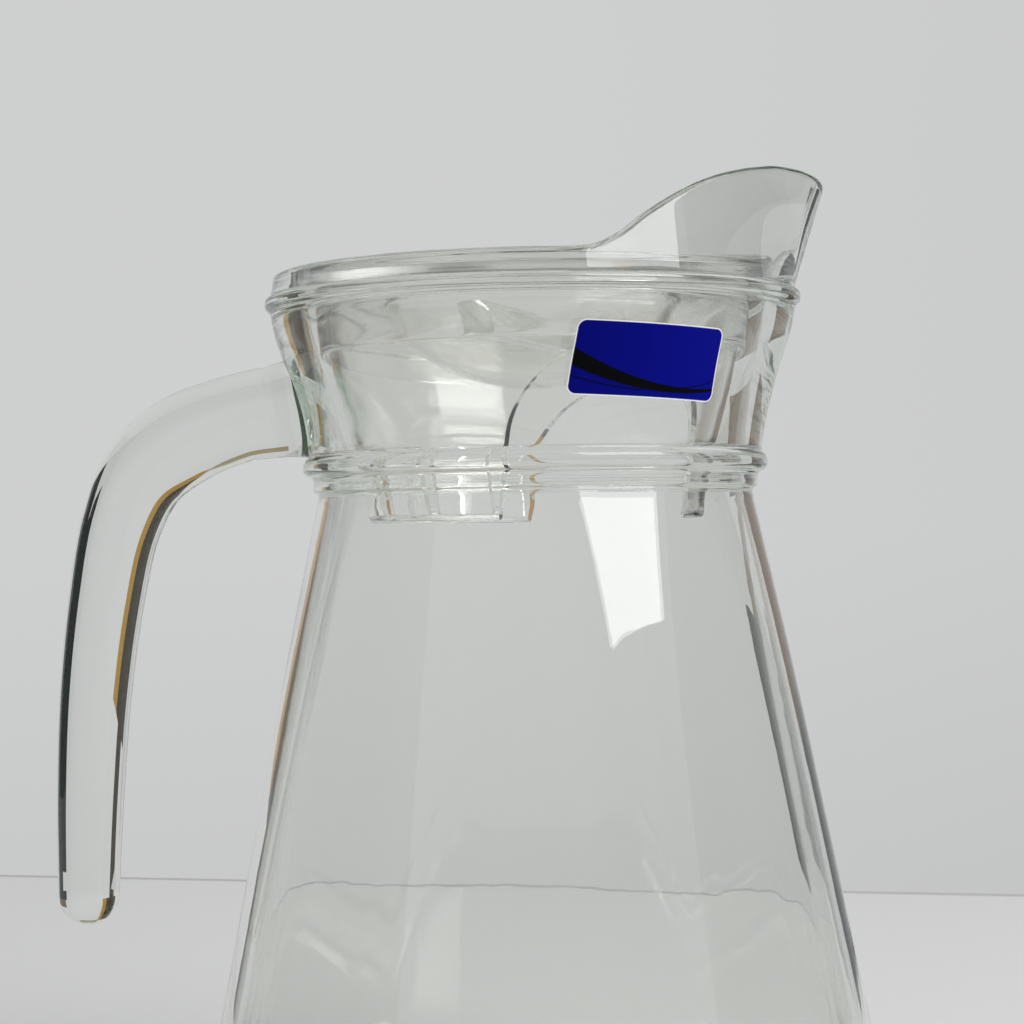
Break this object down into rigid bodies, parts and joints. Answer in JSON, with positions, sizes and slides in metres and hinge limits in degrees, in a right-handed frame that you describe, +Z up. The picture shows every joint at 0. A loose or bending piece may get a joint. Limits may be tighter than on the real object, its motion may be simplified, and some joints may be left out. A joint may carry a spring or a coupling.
{
  "type": "glass water jug with strainer lid",
  "caption": "Clear glass water jug with a soft octagonal body, pulled-up pouring beak, open-ended glass handle and a clear lift-off strainer lid.",
  "frame": {"origin": "centre of the flat base, on the table", "axes": "+Z up along the jug's axis, +X towards the pouring beak, -X towards the handle"},
  "size_m": [0.1758, 0.1452, 0.2151],
  "materials": {
    "glass": "polished pressed glass, faint green tint",
    "label_film": "printed blue film, satin",
    "lid_plastic": "clear moulded plastic, glossy"
  },
  "bodies": {
    "jug": {"jug_glass": "glass", "handle": "glass", "label": "label_film"},
    "lid": {"lid_cap": "lid_plastic"},
    "insert": {"lid_strainer": "lid_plastic", "lid_grip": "lid_plastic"}
  },
  "joints": [
    {"name": "lid_lift", "type": "slide", "parent": "jug", "child": "lid", "axis": [0, 0, 1], "range_m": [0, 0.085]},
    {"name": "lid_turn", "type": "hinge", "parent": "lid", "child": "insert", "pos_m": [0, 0, 0.185], "axis": [0, 0, 1], "continuous": true}
  ]
}
